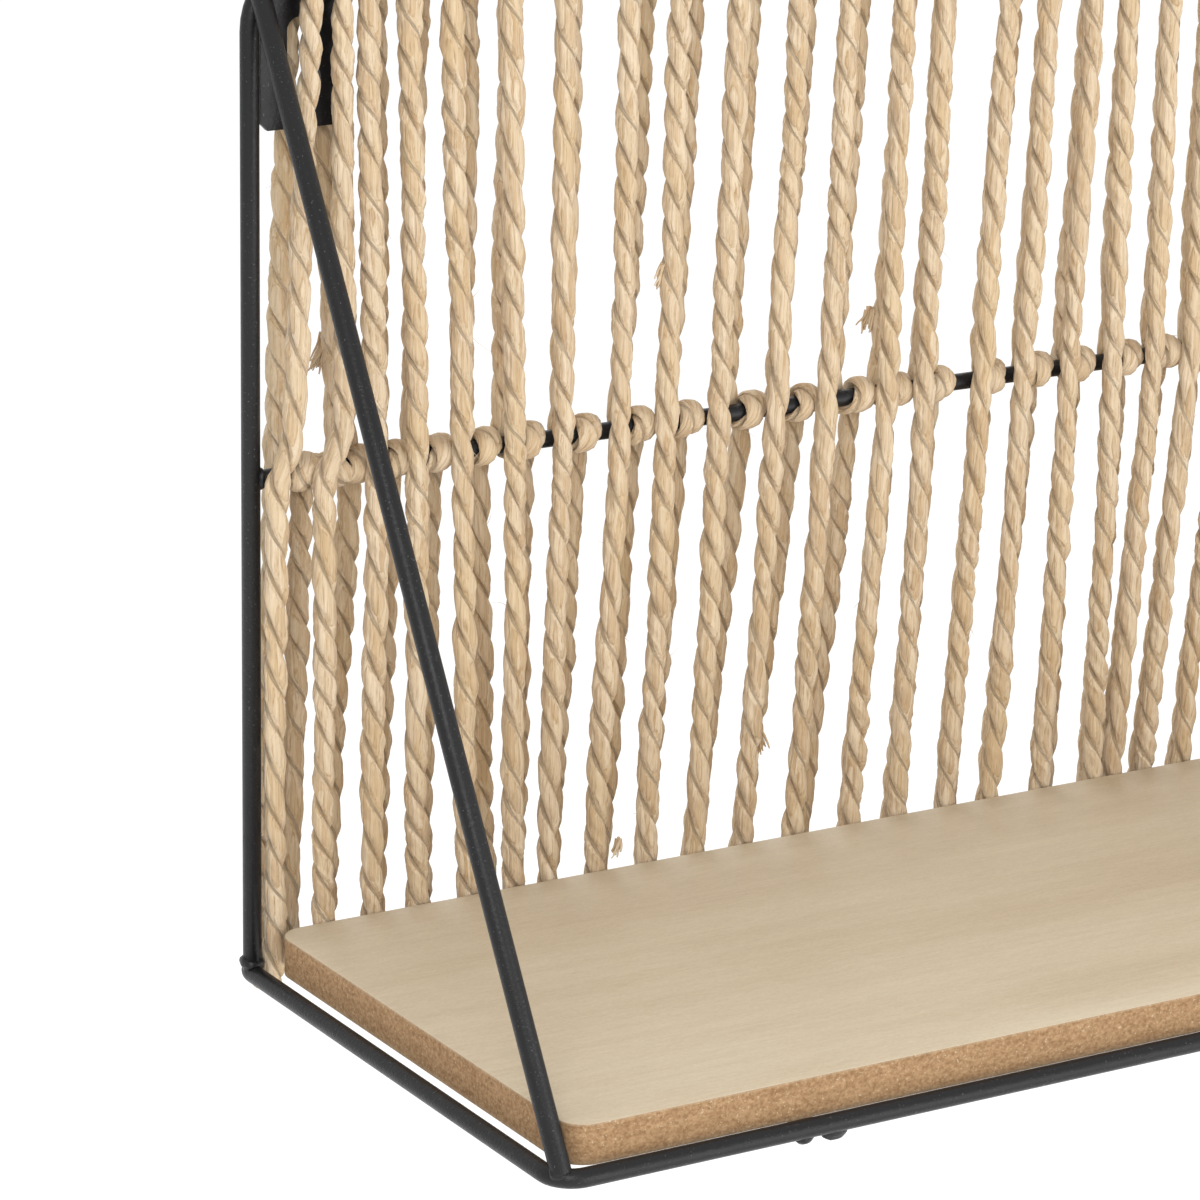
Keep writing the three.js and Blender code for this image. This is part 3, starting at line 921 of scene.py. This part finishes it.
def rope_section():
    """Points round the rope's section: two plies side by side, with a groove between them"""
    points = []
    for index in range(SECTION_POINTS):
        angle = 2 * math.pi * index / SECTION_POINTS
        angle -= SECTION_CROWDING * math.sin(2 * angle)
        cosine, sine = math.cos(angle), math.sin(angle)
        square = (cosine / PLY_HALF_ALONG) ** 2 + (sine / PLY_HALF_ACROSS) ** 2
        half = PLY_OFFSET * abs(cosine) / PLY_HALF_ALONG ** 2
        rest = (PLY_OFFSET / PLY_HALF_ALONG) ** 2 - 1
        reach = (half + math.sqrt(half * half - square * rest)) / square
        points.append((reach * cosine, reach * sine))
    return np.array(points)


def section_object(points):
    """The section as a closed flat curve that the rope's curve is bevelled with"""
    curve = bpy.data.curves.new("rope_section", "CURVE")
    curve.dimensions = "2D"
    spline = curve.splines.new("POLY")
    spline.points.add(len(points) - 1)
    flat = np.column_stack([points, np.zeros(len(points)), np.ones(len(points))])
    spline.points.foreach_set("co", flat.ravel())
    spline.use_cyclic_u = True
    holder = bpy.data.objects.new("rope_section", curve)
    bpy.context.scene.collection.objects.link(holder)
    return holder


def mesh_points(mesh, rings, sides):
    """Where a mesh's points are, ring by ring"""
    points = np.empty(len(mesh.vertices) * 3, np.float32)
    mesh.vertices.foreach_get("co", points)
    return points.reshape(rings, sides, 3)


def move_points(mesh, points):
    """Puts a mesh's points in new places"""
    mesh.vertices.foreach_set("co", points.ravel().astype(np.float32))


def uneven_lumps(length, sides):
    """How much further out each point of each section lies: long low lumps that fade round the rope"""
    lumps = np.stack([wander(length, "lumps", side) for side in range(sides)], axis=1)
    lumps = (np.roll(lumps, -1, axis=1) + lumps * 2 + np.roll(lumps, 1, axis=1)) / 4
    bulges = np.stack([wander(length, "bulges", side) for side in range(sides)], axis=1)
    for _ in range(BULGE_SPREADING):
        bulges = (np.roll(bulges, -1, axis=1) + bulges + np.roll(bulges, 1, axis=1)) / 3
    return 1 + lumps + bulges


def groove_fill(length):
    """How far the groove between the plies is filled along the rope, from 0 to 1"""
    return np.clip(GROOVE_FILL + wander(length, "groove"), 0, 1)


def roughen(mesh, line, length, section):
    """Gives the even rope its lumps, and fills its groove to a depth that changes along it"""
    sides = len(section)
    reach = np.hypot(section[:, 0], section[:, 1])
    fullest = (reach.max() - reach) / reach
    outward = uneven_lumps(length, sides) * (1 + groove_fill(length)[:, None] * fullest[None, :])
    middle = line[:, None, :]
    offset = mesh_points(mesh, len(line), sides) - middle
    move_points(mesh, middle + offset * outward[:, :, None])


def rope_mesh(name, line, tilt, radius, length, section):
    """One stretch of rope, with where each fibre lies and how deep it is in the groove"""
    curve = bpy.data.curves.new(name, "CURVE")
    curve.dimensions = "3D"
    curve.twist_mode = "MINIMUM"
    holder = section_object(section)
    curve.bevel_mode = "OBJECT"
    curve.bevel_object = holder
    spline = curve.splines.new("POLY")
    spline.points.add(len(line) - 1)
    spline.points.foreach_set("co", np.column_stack([line, np.ones(len(line))]).ravel())
    spline.points.foreach_set("tilt", tilt)
    spline.points.foreach_set("radius", radius)
    mesh = curve_mesh(name, curve)
    bpy.data.curves.remove(holder.data)
    mark_fibres(mesh, tilt, radius, length, section)
    roughen(mesh, line, length, section)
    press_knobs(mesh, line, len(section))
    shape = bmesh.new()
    shape.from_mesh(mesh)
    bmesh.ops.holes_fill(shape, edges=[edge for edge in shape.edges if edge.is_boundary])
    bmesh.ops.recalc_face_normals(shape, faces=shape.faces)
    shape.to_mesh(mesh)
    shape.free()
    mesh.shade_smooth()
    mesh.set_sharp_from_angle(angle=math.radians(ROPE_SHARP_ANGLE))
    return mesh


def press_knobs(mesh, line, sides):
    """Presses the rope flat where it lies round the mid wire, and lets it spread along the wire"""
    away = line - np.array([0, HOOP_Y, MID_Z])
    away[:, 0] = 0
    distance = np.linalg.norm(away, axis=1, keepdims=True)
    away = (away / distance)[:, None, :]
    pressed = np.clip((PRESS_REACH - distance) / PRESS_FADE, 0, 1)[:, :, None]
    middle = line[:, None, :]
    offset = mesh_points(mesh, len(line), sides) - middle
    outward = (offset * away).sum(axis=2, keepdims=True) * away
    sideways = offset * np.array([1, 0, 0])
    offset += pressed * ((KNOB_FLAT - 1) * outward + (KNOB_WIDE - 1) * sideways)
    move_points(mesh, middle + offset)


def mark_fibres(mesh, tilt, radius, length, section):
    """Writes the attributes "fibre" and "groove", ring by ring"""
    cosine = np.cos(tilt)[:, None]
    sine = np.sin(tilt)[:, None]
    x, y = section[:, 0][None, :], section[:, 1][None, :]
    ply = np.where(x > 0, PLY_SHIFT, 0.0)
    across = (cosine * x + sine * y) * radius[:, None] + ply
    upright = (cosine * y - sine * x) * radius[:, None]
    along = np.broadcast_to(length[:, None], across.shape)
    fibre = np.stack([across, upright, along], axis=-1)
    reach = np.hypot(section[:, 0], section[:, 1])
    deep = 1 - (reach - reach.min()) / (reach.max() - reach.min())
    # How much painted shade each point gets in the rope's material: its depth in the groove, less where the
    # groove is filled
    groove = deep[None, :] * (1 - GROOVE_PALING * groove_fill(length)[:, None])
    mesh.attributes.new("fibre", "FLOAT_VECTOR", "POINT").data.foreach_set("vector", fibre.ravel())
    mesh.attributes.new("groove", "FLOAT", "POINT").data.foreach_set("value", groove.ravel())


class SHELF_OT_rope(bpy.types.Operator):
    """Makes the wound rope with its twist, in three stretches"""

    bl_idname = "shelf.rope"
    bl_label = "Rope"

    def execute(self, context):
        sizes = context.scene.shelf_sizes
        material = rope_finish(context.scene.shelf_colours)
        line, length = rope_line(sizes.rope_step, sizes.rope_waviness)
        turns = length / sizes.rope_lay + wander(length, "lay") + wander(length, "fine_lay")
        tilt = -2 * math.pi * turns
        radius = ROPE_FULLNESS + wander(length, "thickness") + wander(length, "fine_thickness")
        section = rope_section()
        bounds = np.linspace(0, len(line) - 1, len(ROPE_PIECES) + 1).astype(int)
        for name, first, last in zip(ROPE_PIECES, bounds, bounds[1:]):
            part = slice(first, last + 1)
            mesh = rope_mesh(name, line[part], tilt[part], radius[part], length[part], section)
            shown(name, mesh, material, "rope", "rope")
        return {"FINISHED"}


def jitter(draw, reach):
    """A small random vector"""
    return Vector([draw.uniform(-reach, reach) for _ in range(3)])


def lay_fibre(curve, place, heading, stride, thicknesses, bend, curl, draw):
    """Lays one fibre, knot by knot, so that it bends and curls on its way"""
    spline = curve.splines.new("POLY")
    spline.points.add(len(thicknesses) - 1)
    for knot, thickness in zip(spline.points, thicknesses):
        knot.co = (*place, 1)
        knot.radius = thickness
        place = place + heading * stride
        heading = (heading + bend + jitter(draw, curl)).normalized()


def add_fibre(curve, line, draw):
    """One fibre: it leaves the rope at a flat angle and curls"""
    index = draw.randrange(FIBRE_ENDS_CLEAR, len(line) - FIBRE_ENDS_CLEAR)
    root = Vector(line[index])
    along = (Vector(line[index + 1]) - Vector(line[index - 1])).normalized()
    if draw.random() < 0.5:
        along = -along
    outward = along.orthogonal().normalized()
    outward.rotate(Matrix.Rotation(draw.uniform(0, 2 * math.pi), 3, along))
    heading = (along * draw.uniform(*FIBRE_LEAN) + outward).normalized()
    bend = jitter(draw, 1) * draw.uniform(*FIBRE_BEND)
    knots = LONG_FIBRE_KNOTS if draw.random() < LONG_FIBRE_SHARE else FIBRE_KNOTS
    count = draw.randrange(*knots)
    stride = draw.uniform(*FIBRE_STRIDE)
    thicknesses = [FIBRE_THICK - FIBRE_THINNING * step / count for step in range(count)]
    lay_fibre(curve, root + outward * FIBRE_ROOT, heading, stride, thicknesses, bend, FIBRE_CURL, draw)


def add_shred(curve, shred, draw):
    """One torn shred: a tuft of flat fibres that lie nearly side by side and curl at their ends"""
    x, y, z = shred["start"]
    start = Vector(part_point(x, y * MM, z * MM))
    way = Vector(shred["way"]).normalized()
    steps = range(SHRED_KNOTS)
    thicknesses = [SHRED_THICK * (1 - SHRED_THINNING * (step / SHRED_KNOTS) ** 2) for step in steps]
    for _ in range(shred["fibres"]):
        scatter = Vector([draw.gauss(0, SHRED_SCATTER) for _ in range(3)]) * shred["spread"]
        heading = (way + jitter(draw, SHRED_FAN)).normalized()
        stride = shred["length"] * draw.uniform(*SHRED_LENGTHS) / SHRED_KNOTS * MM
        lay_fibre(curve, start + scatter * MM, heading, stride, thicknesses, Vector(), SHRED_CURL, draw)


class SHELF_OT_fibres(bpy.types.Operator):
    """Makes the short loose fibres and the torn shreds that stand off the rope"""

    bl_idname = "shelf.fibres"
    bl_label = "Loose fibres"

    def execute(self, context):
        sizes = context.scene.shelf_sizes
        line, _ = rope_line(sizes.rope_step, sizes.rope_waviness)
        draw = random.Random(31)
        curve = bpy.data.curves.new("loose_fibres", "CURVE")
        curve.dimensions = "3D"
        curve.bevel_depth = FIBRE_RADIUS
        curve.bevel_resolution = 0
        for _ in range(sizes.fibre_count):
            add_fibre(curve, line, draw)
        for shred in SHREDS:
            add_shred(curve, shred, draw)
        mesh = curve_mesh("loose_fibres", curve)
        mesh.shade_smooth()
        shown("loose_fibres", mesh, fibre_finish(context.scene.shelf_colours), "rope", "rope")
        return {"FINISHED"}


# Stage

def make_floor():
    """The pale floor"""
    shape = bmesh.new()
    spot = Matrix.Translation(FLOOR_CENTRE)
    bmesh.ops.create_grid(
        shape, x_segments=FLOOR_CELLS, y_segments=FLOOR_CELLS, size=FLOOR_HALF, matrix=spot
    )
    floor = bpy.data.objects.new("floor", finished_mesh("floor", shape))
    floor.data.materials.append(stage_finish())
    bpy.context.scene.collection.objects.link(floor)


def soft_light(name, place, size, power):
    """A square light that is turned to the shelf"""
    light = bpy.data.lights.new(name, "AREA")
    light.shape = "SQUARE"
    light.size = size
    light.energy = power
    holder = bpy.data.objects.new(name, light)
    direction = Vector(LIGHT_TARGET) - Vector(place)
    turned = direction.to_track_quat("-Z", "Y").to_matrix().to_4x4()
    holder.matrix_world = Matrix.Translation(place) @ turned
    bpy.context.scene.collection.objects.link(holder)


def make_studio(scene):
    """The white surroundings"""
    world = bpy.data.worlds.new("studio")
    world.use_nodes = True
    background = world.node_tree.nodes["Background"]
    background.inputs["Color"].default_value = (1, 1, 1, 1)
    background.inputs["Strength"].default_value = STUDIO_STRENGTH
    scene.world = world
    scene.view_settings.view_transform = "Standard"


def make_camera(scene):
    """The camera"""
    camera = bpy.data.cameras.new("camera")
    camera.lens = CAMERA_LENS
    camera.sensor_width = SENSOR_WIDTH
    camera.sensor_fit = "HORIZONTAL"
    camera.clip_end = CAMERA_FAR
    holder = bpy.data.objects.new("camera", camera)
    holder.matrix_world = (
        Matrix.Translation(CAMERA_PLACE)
        @ Matrix.Rotation(math.radians(CAMERA_AZIMUTH), 4, "Z")
        @ Matrix.Rotation(math.radians(90 - CAMERA_ELEVATION), 4, "X")
        @ Matrix.Rotation(math.radians(CAMERA_ROLL), 4, "Z")
    )
    scene.collection.objects.link(holder)
    scene.camera = holder


class SHELF_OT_stage(bpy.types.Operator):
    """Makes the floor, the lights and the camera"""

    bl_idname = "shelf.stage"
    bl_label = "Stage"

    def execute(self, context):
        make_floor()
        for light in LIGHTS:
            soft_light(**light)
        make_studio(context.scene)
        make_camera(context.scene)
        return {"FINISHED"}


class SHELF_PT_panel(bpy.types.Panel):
    """Lists the shelf's pieces"""

    bl_idname = "SHELF_PT_panel"
    bl_label = "Rope wall shelf"
    bl_space_type = "VIEW_3D"
    bl_region_type = "UI"
    bl_category = "Shelf"

    def draw(self, context):
        for group in (context.scene.shelf_sizes, context.scene.shelf_colours):
            for name in group.bl_rna.properties.keys():
                if name not in ("rna_type", "name"):
                    self.layout.prop(group, name)
        for operator in OPERATORS:
            self.layout.operator(operator.bl_idname)


OPERATORS = (SHELF_OT_stage, SHELF_OT_wires, SHELF_OT_board, SHELF_OT_rope, SHELF_OT_fibres)
CLASSES = (ShelfSizes, ShelfColours, *OPERATORS, SHELF_PT_panel)


def register():
    for item in CLASSES:
        bpy.utils.register_class(item)
    bpy.types.Scene.shelf_sizes = bpy.props.PointerProperty(type=ShelfSizes)
    bpy.types.Scene.shelf_colours = bpy.props.PointerProperty(type=ShelfColours)


def unregister():
    del bpy.types.Scene.shelf_colours
    del bpy.types.Scene.shelf_sizes
    for item in reversed(CLASSES):
        bpy.utils.unregister_class(item)


def main():
    register()
    bpy.ops.shelf.stage()
    bpy.ops.shelf.wires()
    bpy.ops.shelf.board()
    bpy.ops.shelf.rope()
    bpy.ops.shelf.fibres()


if __name__ == "__main__":
    main()
